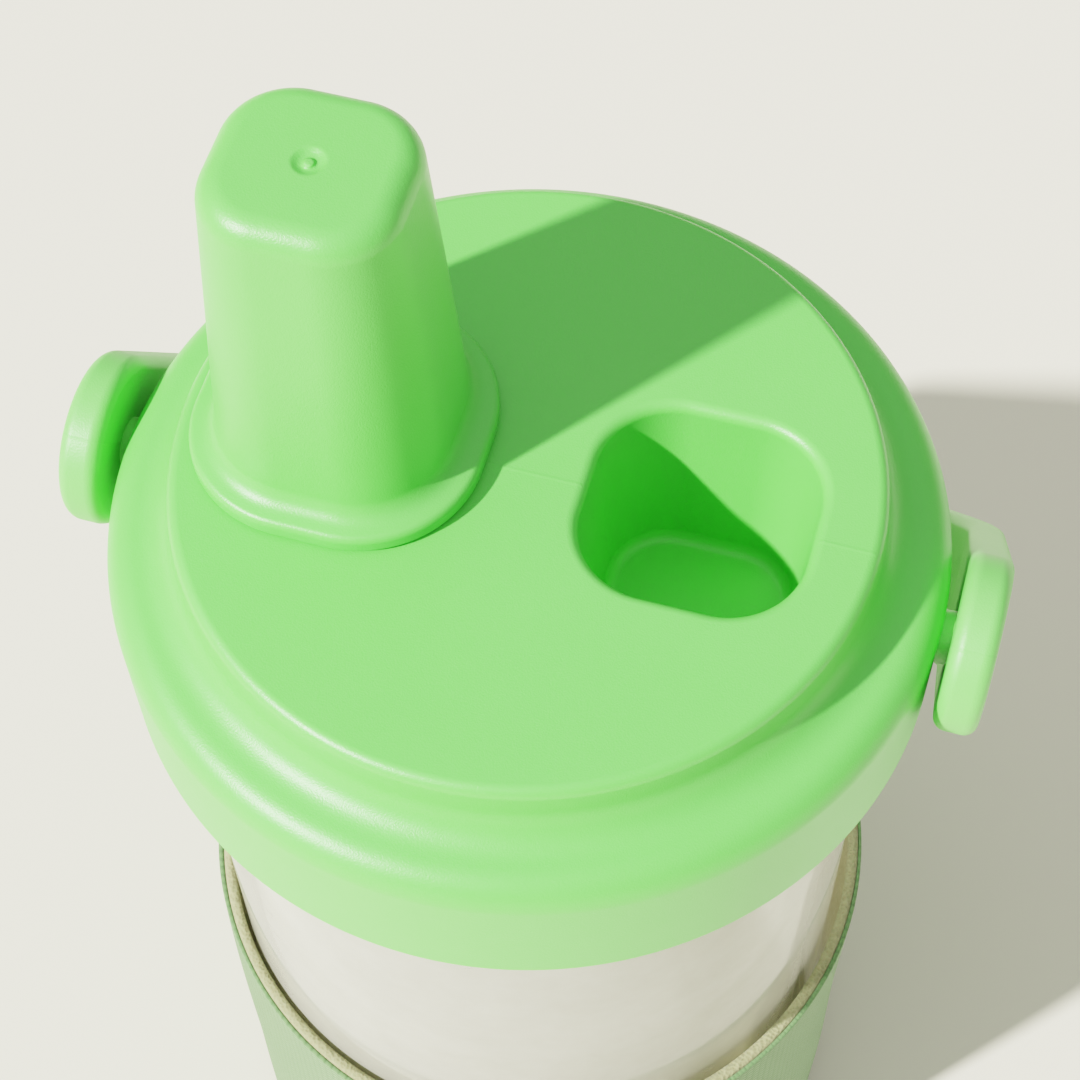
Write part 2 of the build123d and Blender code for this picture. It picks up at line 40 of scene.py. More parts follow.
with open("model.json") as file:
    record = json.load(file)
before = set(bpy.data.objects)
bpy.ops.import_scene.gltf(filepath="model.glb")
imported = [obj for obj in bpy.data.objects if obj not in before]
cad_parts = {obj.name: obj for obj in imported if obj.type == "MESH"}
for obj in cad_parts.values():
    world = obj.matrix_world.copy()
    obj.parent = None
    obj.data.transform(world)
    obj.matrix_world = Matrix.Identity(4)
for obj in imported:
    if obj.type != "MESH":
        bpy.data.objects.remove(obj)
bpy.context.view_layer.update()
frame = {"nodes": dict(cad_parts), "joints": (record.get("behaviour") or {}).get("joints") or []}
JOINTS = {joint["name"]: joint for joint in frame["joints"]}


# ---------------------------------------------------------------- sizes, given and from the frame

def low(node):
    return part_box(node)[0]


def high(node):
    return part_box(node)[1]


SKIRT_H = 17.7 * MM
SHOULDER_W = 7.2 * MM
SHOULDER_FALL = 0.85 * MM
DECK_RISE = 6.4 * MM
DECK_T = 2.2 * MM
DECK_EDGE = 1.2 * MM
STEP_BLEND = 4.0 * MM
STEP_DRAFT = 0.4 * MM
ROLL_R = 3.5 * MM
SKIRT_T = 2.2 * MM
SKIRT_EDGE = 0.6 * MM
LID_R = high("lid_cover").x
SKIRT_Z = low("lid_cover").z
SHOULDER_Z = SKIRT_Z + SKIRT_H
DECK_Z = SHOULDER_Z + DECK_RISE
DECK_R = LID_R - SHOULDER_W

POCKET = Vector((17.2 * MM, 0, DECK_Z))
POCKET_W = 22.2 * MM
POCKET_D = 21.7 * MM
POCKET_CORNER = 7.8 * MM
POCKET_DEPTH = 21.6 * MM
POCKET_DRAFT = math.tan(math.radians(3.7))
POCKET_WALL = 1.6 * MM
POCKET_RIM = 1.2 * MM
POCKET_FLOOR_BLEND = 1.4 * MM
POCKET_MARGIN = 2.6 * MM    # deck round the pocket that follows its outline
CUP_BLEND = 2.2 * MM        # outside, under the pocket's floor

CAP_LOW = low("spout_cap")
CAP_HIGH = high("spout_cap")
CAP = Vector(((CAP_LOW.x + CAP_HIGH.x) / 2, 0, CAP_LOW.z))
CAP_TOP_Z = CAP_HIGH.z
FLANGE_W = CAP_HIGH.x - CAP_LOW.x
FLANGE_D = CAP_HIGH.y - CAP_LOW.y
LEDGE_X = 2.8 * MM
LEDGE_Y = 2.7 * MM
CAP_W = FLANGE_W - 2 * LEDGE_X
CAP_D = FLANGE_D - 2 * LEDGE_Y
CAP_CORNER = 9.1 * MM
CAP_DRAFT = math.tan(math.radians(4.2))
CAP_WALL = 1.8 * MM
CAP_TOP_EDGE = 2.6 * MM
FLANGE_T = 2.4 * MM
FLANGE_BLEND = 2.3 * MM
FLANGE_RIM = 0.85 * MM
FLANGE_FOOT = 0.55 * MM
NUB_R = 0.5 * MM
DIMPLE_R = 1.6 * MM
DIMPLE_DEPTH = 0.4 * MM

COLLAR_GAP = 0.35 * MM
COLLAR_H = 3.2 * MM
COLLAR_WALL = 1.4 * MM
COLLAR_SUNK = 0.4 * MM
COLLAR_EDGE = 0.45 * MM
GROOVE_LOW = 1.1 * MM
GROOVE_HIGH = 2.1 * MM
GROOVE_DEPTH = 0.6 * MM

PIVOT = Vector(JOINTS["handle_swing"]["pos_m"])
BAND_T = 4.4 * MM
BAND_HALF = 9.0 * MM
BAND_X = high("handle").x - BAND_T / 2
BAND_REACH = 86.4 * MM - BAND_T / 2
BAND_BEND = 40.0 * MM - BAND_T / 2
BAND_EDGE = 1.35 * MM
BAND_REST = math.radians(53.894)

BODY_R = high("bottle_body").x
BODY_Z = low("bottle_body").z
RIM_Z = high("bottle_body").z
BODY_WALL = 2.0 * MM
BODY_FLOOR = 3.0 * MM
BODY_CORNER = 5.0 * MM
NECK_H = 12.8 * MM
NECK_R = BODY_R - 4.3 * MM
PUNT_R = 22 * MM
PUNT_H = 1.4 * MM
LEAD = 6 * MM
RIDGE_H = 1.3 * MM
RIDGE_ROOT = 0.3 * MM       # how far a ridge is sunk in its wall
RIDGE_HALF = 1.1 * MM
RIDGE_TIP_HALF = 0.5 * MM
THREAD_RISE = 4.4 * MM      # middle of the neck's ridge, at its start, above the insert's lower edge
THREAD_TURNS = 0.85

SLEEVE_GAP = 0.8 * MM
SLEEVE_R = high("sleeve_fabric").x
FOAM_R = high("sleeve_foam").x
FOAM_IN_R = BODY_R + SLEEVE_GAP
WALL_Z = low("sleeve_foam").z
SLEEVE_TOP_Z = high("sleeve_foam").z


# ---------------------------------------------------------------- shapes

def soften(corners, radii, steps=8):
    """A line of (across, up) corners with each inner corner turned by an arc of its own radius."""
    line = [Vector(corners[0])]
    for before, corner, after, radius in zip(corners, corners[1:], corners[2:], radii):
        corner = Vector(corner)
        back = (Vector(before) - corner).normalized()
        on = (Vector(after) - corner).normalized()
        half = back.angle(on) / 2
        if not radius or half > 1.55:
            line.append(corner)
            continue
        centre = corner + (back + on).normalized() * radius / math.sin(half)
        start = corner + back * radius / math.tan(half) - centre
        end = corner + on * radius / math.tan(half) - centre
        sweep = start.angle_signed(end)
        for step in range(steps + 1):
            line.append(centre + Matrix.Rotation(-sweep * step / steps, 2) @ start)
    line.append(Vector(corners[-1]))
    return line


def circle(radius, z, count, centre=(0, 0)):
    return [Vector((centre[0] + radius * math.cos(TURN * i / count),
                    centre[1] + radius * math.sin(TURN * i / count), z)) for i in range(count)]


def square_reach(width, depth, corner, angle):
    """Distance from the centre of a rounded square to its edge in one direction."""
    across, along = abs(math.cos(angle)), abs(math.sin(angle))
    half_w, half_d = width / 2, depth / 2
    if across * (half_d - corner) >= along * half_w:
        return half_w / across
    if along * (half_w - corner) >= across * half_d:
        return half_d / along
    mid_x, mid_y = half_w - corner, half_d - corner
    middle = across * mid_x + along * mid_y
    return middle + math.sqrt(middle ** 2 - mid_x ** 2 - mid_y ** 2 + corner ** 2)


def square(width, depth, corner, z, count, centre=(0, 0)):
    loop = []
    for i in range(count):
        angle = TURN * i / count
        reach = square_reach(width, depth, corner, angle)
        loop.append(Vector((centre[0] + reach * math.cos(angle), centre[1] + reach * math.sin(angle), z)))
    return loop


def skin(name, loops, ring=False, first=None, last=None):
    """A mesh through loops of points; first and last are points that close its two ends."""
    mesh = bmesh.new()
    rows = [[mesh.verts.new(point) for point in loop] for loop in loops]
    pairs = list(zip(rows, rows[1:])) + ([(rows[-1], rows[0])] if ring else [])
    for row, beside in pairs:
        for i in range(len(row)):
            j = (i + 1) % len(row)
            mesh.faces.new((row[i], row[j], beside[j], beside[i]))
    for point, row in ((first, rows[0]), (last, rows[-1])):
        if point is not None:
            tip = mesh.verts.new(point)
            for i in range(len(row)):
                mesh.faces.new((row[i], row[(i + 1) % len(row)], tip))
    return finish_mesh(name, mesh)


def finish_mesh(name, mesh):
    """Makes the object, with its faces outward and smooth."""
    bmesh.ops.recalc_face_normals(mesh, faces=mesh.faces)
    for face in mesh.faces:
        face.smooth = True
    data = bpy.data.meshes.new(name)
    mesh.to_mesh(data)
    mesh.free()
    piece = bpy.data.objects.new(name, data)
    bpy.context.scene.collection.objects.link(piece)
    return piece


def even_shading(piece):
    """Keeps flat faces flat in the shading, beside small rounded edges."""
    weighted = piece.modifiers.new("even shading", "WEIGHTED_NORMAL")
    weighted.weight = 90
    weighted.keep_sharp = True
    return piece


def turned(name, line, count=192, ring=False):
    """A piece turned about Z from a line of (radius, height) points."""
    loops = [circle(point.x, point.y, count) for point in line if point.x > 1e-7]
    first = (0, 0, line[0].y) if line[0].x <= 1e-7 else None
    last = (0, 0, line[-1].y) if line[-1].x <= 1e-7 else None
    return skin(name, loops, ring, first, last)


# ---------------------------------------------------------------- lid

def lid_shell():
    """Pocket floor, pocket wall, deck, shoulder, skirt, and back along the inside, as one closed skin."""
    count = 240
    centre = (POCKET.x, POCKET.y)
    loops = []
    floor_z = DECK_Z - POCKET_DEPTH
    narrowing = POCKET_DEPTH * POCKET_DRAFT
    for share in (0.25, 0.5, 0.75):
        inset = narrowing + 2.2 * MM
        loops.append(square((POCKET_W - 2 * inset) * share, (POCKET_D - 2 * inset) * share,
                            (POCKET_CORNER - inset) * share, floor_z, count, centre))
    wall = soften([(-narrowing - 2.3 * MM, floor_z), (-narrowing, floor_z), (0, DECK_Z),
                   (POCKET_MARGIN, DECK_Z)], (POCKET_FLOOR_BLEND, POCKET_RIM), 9)
    loops += pocket_loops(wall, count)
    outside = soften(
        [(DECK_R - 3 * MM, DECK_Z), (DECK_R, DECK_Z), (DECK_R + STEP_DRAFT, SHOULDER_Z),
         (LID_R, SHOULDER_Z - SHOULDER_FALL), (LID_R, SKIRT_Z), (LID_R - SKIRT_T, SKIRT_Z),
         (LID_R - SKIRT_T, SHOULDER_Z - SKIRT_T), (DECK_R + STEP_DRAFT - SKIRT_T, SHOULDER_Z - SKIRT_T),
         (DECK_R - SKIRT_T, DECK_Z - DECK_T), (DECK_R - SKIRT_T - 1.5 * MM, DECK_Z - DECK_T)],
        (DECK_EDGE, STEP_BLEND, ROLL_R, SKIRT_EDGE, SKIRT_EDGE, ROLL_R - SKIRT_T, 0, 1.0 * MM), 12)
    loops += [circle(point.x, point.y, count) for point in outside]
    cup = soften([(POCKET_MARGIN, DECK_Z - DECK_T), (POCKET_WALL, DECK_Z - DECK_T),
                  (POCKET_WALL - narrowing, floor_z - POCKET_WALL),
                  (-narrowing - POCKET_WALL, floor_z - POCKET_WALL)], (0, CUP_BLEND), 5)
    cup[0] = cup[0].lerp(cup[1], 0.4)
    loops += pocket_loops(cup, count)
    piece = skin("lid_shell", loops, first=(POCKET.x, POCKET.y, floor_z),
                 last=(POCKET.x, POCKET.y, floor_z - POCKET_WALL))
    return even_shading(piece)


def pocket_loops(line, count):
    """Loops round the pocket through (distance outside its outline, height) points."""
    return [square(POCKET_W + 2 * inset, POCKET_D + 2 * inset, POCKET_CORNER + inset, z, count,
                   (POCKET.x, POCKET.y)) for inset, z in line]


def spout_collar():
    """The low rounded-square wall that the cap's mouth fits over, with the groove of its seal."""
    count = 128
    width = CAP_W - 2 * (CAP_WALL + COLLAR_GAP)
    depth = CAP_D - 2 * (CAP_WALL + COLLAR_GAP)
    corner = CAP_CORNER - CAP_WALL - COLLAR_GAP
    line = soften(
        [(0, -COLLAR_SUNK), (0, GROOVE_LOW), (-GROOVE_DEPTH, GROOVE_LOW), (-GROOVE_DEPTH, GROOVE_HIGH),
         (0, GROOVE_HIGH), (0, COLLAR_H), (-COLLAR_WALL, COLLAR_H), (-COLLAR_WALL, -COLLAR_SUNK)],
        (0, 0, 0, 0, COLLAR_EDGE, COLLAR_EDGE), 5)
    loops = [square(width + 2 * inset, depth + 2 * inset, corner + inset, DECK_Z + z, count, (CAP.x, CAP.y))
             for inset, z in line]
    return even_shading(skin("spout_collar", loops, ring=True))


# ---------------------------------------------------------------- spout cap

def spout_cap_skin():
    """Outside from the gate mark down to the flange, then up the inside, as one closed skin."""
    count = 160
    centre = (CAP.x, CAP.y)
    flange_top = CAP.z + FLANGE_T
    tip_inset = (CAP_TOP_Z - flange_top) * CAP_DRAFT
    outline = soften(
        [(-tip_inset - 5 * MM, CAP_TOP_Z), (-tip_inset, CAP_TOP_Z), (0, flange_top + 0.3 * MM),
         (LEDGE_X, flange_top - 0.35 * MM), (LEDGE_X, CAP.z), (-CAP_WALL + 0.1 * MM, CAP.z)],
        (CAP_TOP_EDGE, FLANGE_BLEND, FLANGE_RIM, FLANGE_FOOT), 10)
    loops = []
    for radius, drop in dimple_line():
        loops.append(circle(radius, CAP_TOP_Z - drop, count, centre))
    for inset, z in outline:
        outward = max(0.0, inset) / LEDGE_X
        loops.append(square(CAP_W + 2 * inset, CAP_D + 2 * inset - 2 * outward * (LEDGE_X - LEDGE_Y),
                            CAP_CORNER + inset, z, count, centre))
    ceiling = CAP_TOP_Z - CAP_WALL
    hollow = soften([(-CAP_WALL + 0.1 * MM, CAP.z), (-CAP_WALL - tip_inset, ceiling),
                     (-CAP_WALL - tip_inset - 5 * MM, ceiling)], (1.9 * MM,), 8)
    for inset, z in hollow[1:]:
        loops.append(square(CAP_W + 2 * inset, CAP_D + 2 * inset, CAP_CORNER + inset, z, count, centre))
    piece = skin("spout_cap_skin", loops, first=(CAP.x, CAP.y, CAP_TOP_Z - 0.15 * MM),
                 last=(CAP.x, CAP.y, ceiling))
    return even_shading(piece)


def dimple_line():
    """The gate mark: a small rough nub in a shallow dish; (radius, depth below the cap's top)."""
    line = [(NUB_R * 0.55, 0.12 * MM), (NUB_R * 0.9, 0.18 * MM), (NUB_R, 0.26 * MM),
            (NUB_R * 1.15, 0.38 * MM)]
    inner = NUB_R * 1.3
    for step in range(1, 9):
        share = step / 8
        line.append((inner + (DIMPLE_R - inner) * share, DIMPLE_DEPTH * (1 - share ** 2) ** 1.5))
    line.append((DIMPLE_R * 1.12, 0.0))
    return line


# ---------------------------------------------------------------- carry handle

def band_path():
    """The middle line of the band as (point, outward) pairs in the band's own plane: across and reach."""
    straight = BAND_REACH - BAND_BEND
    half = [(Vector((BAND_X, straight * i / 24)), Vector((1, 0))) for i in range(24)]
    middle = Vector((BAND_X - BAND_BEND, straight))
    for step in range(49):
        turn = TURN / 4 * step / 48
        out = Vector((math.cos(turn), math.sin(turn)))
        half.append((middle + out * BAND_BEND, out))
    other = [(Vector((-point.x, point.y)), Vector((-out.x, out.y))) for point, out in reversed(half)]
    return half + other


def carry_band():
    """The U-shaped band with two round ends, swung down behind the sleeve."""
    reach_way = Vector((0, math.cos(BAND_REST), -math.sin(BAND_REST)))
    width_way = Vector((0, math.sin(BAND_REST), math.cos(BAND_REST)))
    across_way = Vector((1, 0, 0))
    path = band_path()
    half_t = BAND_T / 2
    rim = []
    steps = 8
    for side in (1, -1):
        turns = range(steps + 1) if side == 1 else range(steps, -1, -1)
        for step in turns:
            turn = TURN / 4 * step / steps
            inset = BAND_EDGE * (1 - math.sin(turn))
            rise = side * (half_t - BAND_EDGE + BAND_EDGE * math.cos(turn))
            rim.append((inset, rise))
    mesh = bmesh.new()
    rows = []
    for inset, rise in rim:
        rows.append([mesh.verts.new(point) for point in band_outline(path, inset, rise, across_way, reach_way,
                                                                     width_way)])
    for row, beside in zip(rows, rows[1:]):
        for i in range(len(row)):
            j = (i + 1) % len(row)
            mesh.faces.new((row[i], row[j], beside[j], beside[i]))
    for row in (rows[0], rows[-1]):
        count = len(row)
        mesh.faces.new((row[0], row[1], row[count - 1]))
        for i in range(1, count // 2 - 1):
            mesh.faces.new((row[i], row[i + 1], row[count - i - 1], row[count - i]))
        mesh.faces.new((row[count // 2 - 1], row[count // 2], row[count // 2 + 1]))
    return even_shading(finish_mesh("carry_band", mesh))


def band_outline(path, inset, rise, across_way, reach_way, width_way):
    """The band's outline, drawn in by inset and lifted by rise off its middle surface, as one loop."""
    radius = BAND_HALF - inset
    cap_steps = 16
    upper = []
    first, first_out = path[0]
    last, last_out = path[-1]
    for step in range(cap_steps):
        turn = TURN / 4 * step / cap_steps
        upper.append((first + Vector((0, -radius * math.cos(turn))), first_out, radius * math.sin(turn)))
    for point, out in path:
        upper.append((point, out, radius))
    for step in range(1, cap_steps + 1):
        turn = TURN / 4 * (1 - step / cap_steps)
        upper.append((last + Vector((0, -radius * math.cos(turn))), last_out, radius * math.sin(turn)))
    lower = [(point, out, -width) for point, out, width in reversed(upper[1:-1])]
    loop = []
    for point, out, width in upper + lower:
        flat = point + out * rise
        loop.append(PIVOT + across_way * flat.x + reach_way * flat.y + width_way * width)
    return loop


# ---------------------------------------------------------------- clear body

def clear_body():
    """The clear wall, inside and out, with a raised centre underneath."""
    shoulder_z = RIM_Z - NECK_H
    bore_r = NECK_R - BODY_WALL
    inner_r = BODY_R - BODY_WALL
    inner_z = shoulder_z - BODY_WALL
    floor_z = BODY_Z + BODY_FLOOR
    line = soften(
        [(0, BODY_Z + PUNT_H), (PUNT_R, BODY_Z + PUNT_H), (PUNT_R + PUNT_H, BODY_Z), (BODY_R, BODY_Z),
         (BODY_R, shoulder_z), (NECK_R, shoulder_z), (NECK_R, RIM_Z), (bore_r, RIM_Z), (bore_r, inner_z),
         (inner_r, inner_z), (inner_r, floor_z), (0, floor_z)],
        (1.2 * MM, 1.0 * MM, BODY_CORNER, 1.6 * MM, 1.2 * MM, 0.6 * MM, 0.6 * MM, 1 * MM, 1 * MM,
         BODY_CORNER - BODY_WALL), 9)
    return turned("clear_wall", line, 224)


def thread_ridge():
    """The neck's screw ridge: its section carried round a helix, fading out at both ends."""
    start_z = low("lid_insert").z + THREAD_RISE
    steps = 180
    loops = []
    for step in range(steps + 1):
        turn = TURN * THREAD_TURNS * step / steps
        fade = min(1.0, 12 * step / steps, 12 * (steps - step) / steps)
        tip = RIDGE_H * max(fade, 0.02)
        z = start_z + LEAD * THREAD_TURNS * step / steps
        section = [(-RIDGE_ROOT, -RIDGE_HALF), (tip, -RIDGE_TIP_HALF), (tip, RIDGE_TIP_HALF),
                   (-RIDGE_ROOT, RIDGE_HALF)]
        loops.append([Vector(((NECK_R + out) * math.cos(turn), (NECK_R + out) * math.sin(turn), z + up))
                      for out, up in section])
    middles = [sum(loop, Vector()) / 4 for loop in (loops[0], loops[-1])]
    return skin("clear_thread", loops, first=middles[0], last=middles[1])


# ---------------------------------------------------------------- sleeve

def sleeve_wall(name, inner_r, outer_r, low_z, high_z, edge, sway):
    """A soft tube whose wall swells and dips a little, softer towards its cut top edge."""
    rows = 60
    side = [(inner_r, low_z), (outer_r, low_z)]
    side += [(outer_r, low_z + (high_z - low_z) * i / rows) for i in range(1, rows)]
    side += [(outer_r, high_z), (inner_r, high_z)]
    radii = [edge] + [0] * (rows - 1) + [edge]
    line = soften(side, radii, 4)
    line.append(Vector((inner_r, (low_z + high_z) / 2)))
    count = 288
    loops = []
    for radius, z in line:
        loop = []
        for i in range(count):
            angle = TURN * i / count
            up = (z - low_z) / (high_z - low_z)
            wave = math.sin(3 * angle + 1.3) * math.sin(5 * up + 0.4) + 0.6 * math.sin(7 * angle + 9 * up)
            tilt = math.sin(2 * angle + 0.7) + 0.4 * math.sin(5 * angle)
            reach = radius + sway * wave * (radius - inner_r) / (outer_r - inner_r)
            rise = 0.25 * MM * tilt * up ** 6
            lean = 0.4 * MM * up ** 3
            loop.append(Vector((reach * math.cos(angle) + lean, reach * math.sin(angle), z + rise)))
        loops.append(loop)
    return skin(name, loops, ring=True)


def sleeve_bottom():
    line = soften([(0, low("sleeve_base").z), (SLEEVE_R, low("sleeve_base").z),
                   (SLEEVE_R, high("sleeve_base").z), (0, high("sleeve_base").z)], (2 * MM, 0.3 * MM), 8)
    return turned("sleeve_bottom", line, 192)


def seam_strip():
    """The tape down the back, over the sleeve's seam."""
    inner = low("sleeve_seam_tape").y
    outer = high("sleeve_seam_tape").y
    half = (high("sleeve_seam_tape").x - low("sleeve_seam_tape").x) / 2
    low_z, high_z = low("sleeve_seam_tape").z, high("sleeve_seam_tape").z
    rows = 120
    loops = []
    for row in range(rows + 1):
        z = low_z + (high_z - low_z) * row / rows
        loop = []
        for share in (-1, -0.94, -0.6, -0.2, 0.2, 0.6, 0.94, 1, 0.94, 0.6, 0.2, -0.2, -0.6, -0.94):
            angle = TURN / 4 - share * half / outer
            front = len(loop) < 8 and abs(share) < 1
            radius = outer if front else SLEEVE_R + 0.02 * MM
            if abs(share) == 1:
                radius = (outer + SLEEVE_R) / 2
            loop.append(Vector((radius * math.cos(angle), radius * math.sin(angle), z)))
        loops.append(loop)
    ends = [sum(loop, Vector()) / len(loop) for loop in (loops[0], loops[-1])]
    return skin("seam_strip", loops, first=ends[0], last=ends[1])


def stitch_rows():
    """Short rounded stitches along both sides of the tape."""
    outer = high("sleeve_seam_tape").y
    low_z, high_z = low("sleeve_seam_tape").z + 2 * MM, high("sleeve_seam_tape").z - 2 * MM
    pitch, length, thick = 2.6 * MM, 2.0 * MM, 0.22 * MM
    mesh = bmesh.new()
    count = int((high_z - low_z) / pitch)
    for side in (-1, 1):
        for i in range(count):
            angle = TURN / 4 + side * 2.2 * MM / outer
            z = low_z + pitch * (i + 0.5)
            rows = []
            for step in range(9):
                along = step / 8 - 0.5
                sink = thick * 1.6 * (2 * along) ** 2
                centre_r = outer + 0.1 * MM - sink
                girth = thick * math.sqrt(max(0.05, 1 - (2 * along) ** 4))
                ring = []
                for k in range(6):
                    turn = TURN * k / 6
                    radius = centre_r + girth * 0.6 * math.cos(turn)
                    swing = angle + girth * math.sin(turn) / outer
                    ring.append(mesh.verts.new((radius * math.cos(swing), radius * math.sin(swing),
                                                z + length * along)))
                rows.append(ring)
            for row, beside in zip(rows, rows[1:]):
                for k in range(6):
                    mesh.faces.new((row[k], row[(k + 1) % 6], beside[(k + 1) % 6], beside[k]))
            mesh.faces.new(rows[0])
            mesh.faces.new(rows[-1])
    return finish_mesh("seam_stitches", mesh)


# ---------------------------------------------------------------- finishes

class Wire:
    """A value that varies over a surface. Sums, products and powers of wires add Math nodes."""

    def __init__(self, finish, socket):
        self.finish = finish
        self.socket = socket

    def maths(self, operation, *values):
        return self.finish.node("ShaderNodeMath", {"operation": operation}, values)["Value"]

    def __add__(self, other):
        return self.maths("ADD", self, other)

    def __radd__(self, other):
        return self.maths("ADD", other, self)

    def __sub__(self, other):
        return self.maths("SUBTRACT", self, other)

    def __rsub__(self, other):
        return self.maths("SUBTRACT", other, self)

    def __mul__(self, other):
        return self.maths("MULTIPLY", self, other)

    def __rmul__(self, other):
        return self.maths("MULTIPLY", other, self)

    def __truediv__(self, other):
        return self.maths("DIVIDE", self, other)

    def __pow__(self, other):
        return self.maths("POWER", self, other)

    def __abs__(self):
        return self.maths("ABSOLUTE", self)

    def sine(self):
        return self.maths("SINE", self)

    def fraction(self):
        return self.maths("FRACT", self)

    def held(self, low_end=0.0, high_end=1.0):
        return self.maths("MINIMUM", self.maths("MAXIMUM", self, low_end), high_end)

    def below(self, edge):
        return self.maths("LESS_THAN", self, edge)

    def above(self, edge):
        return self.maths("GREATER_THAN", self, edge)


class Outputs:
    """The outputs of one node, by name, as wires."""

    def __init__(self, finish, node):
        self.finish = finish
        self.shader_node = node

    def __getitem__(self, name):
        socket = next(s for s in self.shader_node.outputs if s.name == name and s.enabled)
        return Wire(self.finish, socket)


class Nodes:
    """A tree of nodes, with the one method that adds to it."""

    def __init__(self, tree):
        self.tree = tree

    def node(self, kind, settings=None, values=None):
        """Adds one node: its settings first, then the values or wires of its inputs, by name or in order."""
        node = self.tree.nodes.new(kind)
        for name, value in (settings or {}).items():
            if name == "stops":
                self.set_stops(node.color_ramp, value)
            else:
                setattr(node, name, value)
        pairs = values.items() if isinstance(values, dict) else enumerate(values or ())
        for key, value in pairs:
            if isinstance(key, int):
                socket = node.inputs[key]
            else:
                socket = next(s for s in node.inputs if s.name == key and s.enabled)
            self.set_input(socket, value)
        return Outputs(self, node)

    def set_stops(self, ramp, stops):
        for element, (place, colour) in zip(ramp.elements, (stops[0], stops[-1])):
            element.position = place
            element.color = colour
        for place, colour in stops[1:-1]:
            ramp.elements.new(place).color = colour

    def set_input(self, socket, value):
        if isinstance(value, Wire):
            self.tree.links.new(value.socket, socket)
        elif isinstance(value, (tuple, list)) and len(value) == 3 and socket.type == "RGBA":
            socket.default_value = (*value, 1.0)
        else:
            socket.default_value = value


class Finish(Nodes):
    """One material: a surface shader with its own fixed settings, and what varies over the surface."""

    def __init__(self, name, **settings):
        self.material = bpy.data.materials.new(name)
        self.material.use_nodes = True
        super().__init__(self.material.node_tree)
        self.tree.nodes.clear()
        self.surface = self.tree.nodes.new("ShaderNodeBsdfPrincipled")
        self.output = self.tree.nodes.new("ShaderNodeOutputMaterial")
        self.tree.links.new(self.surface.outputs["BSDF"], self.output.inputs["Surface"])
        for words, value in settings.items():
            self.surface.inputs[words.replace("_", " ")].default_value = value
        where = self.node("ShaderNodeTexCoord")["Object"]
        self.where = where
        parts = self.node("ShaderNodeSeparateXYZ", {}, {"Vector": where})
        self.x, self.y, self.z = parts["X"], parts["Y"], parts["Z"]

    def feed(self, name, value):
        """What varies over the surface, into the shader's own input."""
        self.set_input(self.surface.inputs[name], value)

    def noise(self, size, detail=2.0, rough=0.5, where=None):
        """Soft noise from 0 to 1 whose features are about size across, in metres."""
        return self.node("ShaderNodeTexNoise", {}, {"Vector": where or self.where, "Scale": 1 / size,
                                                    "Detail": detail, "Roughness": rough})["Fac"]

    def mix(self, factor, one, other):
        """From colour one to colour other as factor goes from 0 to 1."""
        return self.node("ShaderNodeMix", {"data_type": "RGBA"},
                         {"Factor": factor, "A": one, "B": other})["Result"]

    def bump(self, height, distance, strength=1.0, under=None):
        """Fine relief of a wire, with the real height of its steps."""
        values = {"Height": height, "Distance": distance, "Strength": strength}
        if under is not None:
            values["Normal"] = under
        return self.node("ShaderNodeBump", {}, values)["Normal"]


def dress(finish, *pieces):
    """Puts a finish on pieces or CAD nodes."""
    for piece in pieces:
        shape = frame["nodes"][piece] if isinstance(piece, str) else piece
        shape.data.materials.clear()
        shape.data.materials.append(finish.material)
        for face in shape.data.polygons:
            face.material_index = 0


def moulded(name, colour, deep, grain=0.20 * MM, grain_height=0.026 * MM, rough=0.36, glow=0.12):
    """Satin moulded plastic: a slightly clouded colour, a fine misted grain and a soft inner glow."""
    finish = Finish(name, Specular_IOR_Level=0.5, Subsurface_Weight=glow, Subsurface_Radius=(0.5, 1.0, 0.35),
                    Subsurface_Scale=2.5 * MM)
    cloud = finish.noise(22 * MM, 3.0, 0.55)
    speck = finish.noise(grain, 2.0, 0.6)
    scuff = finish.noise(3.5 * MM, 4.0, 0.65)
    finish.feed("Base Color", finish.mix((cloud * 0.6 + speck * 0.4).held(), deep, colour))
    finish.feed("Roughness", (rough - 0.05 + 0.06 * speck + 0.06 * scuff).held(0.05, 1.0))
    finish.grain = finish.bump(speck + 0.35 * finish.noise(grain * 0.45, 1.0), grain_height)
    finish.feed("Normal", finish.grain)
    return finish


def lid_finish():
    """The lid's plastic, with the faint joint lines of the moulding across the deck."""
    finish = moulded("lid_green", LID_GREEN, LID_GREEN_DEEP)
    on_deck = finish.z.above(DECK_Z - 0.2 * MM)
    past_cap = finish.x.above(high("spout_cap").x - 1 * MM)
    line = (1 - abs(finish.y + 0.6 * MM) / (0.28 * MM)).held() * on_deck * past_cap
    finish.feed("Normal", finish.bump(line, 0.035 * MM, 0.8, finish.grain))
    return finish


def cap_finish():
    """The cap's plastic: the same green, with a rougher torn spot at the gate mark."""
    finish = moulded("cap_green", LID_GREEN, LID_GREEN_DEEP, rough=0.35)
    across = finish.x - CAP.x
    near_gate = (1 - (across * across + finish.y * finish.y) ** 0.5 / (1.4 * MM)).held()
    torn = finish.noise(0.35 * MM, 3.0, 0.7) * near_gate * finish.z.above(CAP_TOP_Z - 1 * MM)
    finish.feed("Normal", finish.bump(torn, 0.12 * MM, 0.9, finish.grain))
    return finish


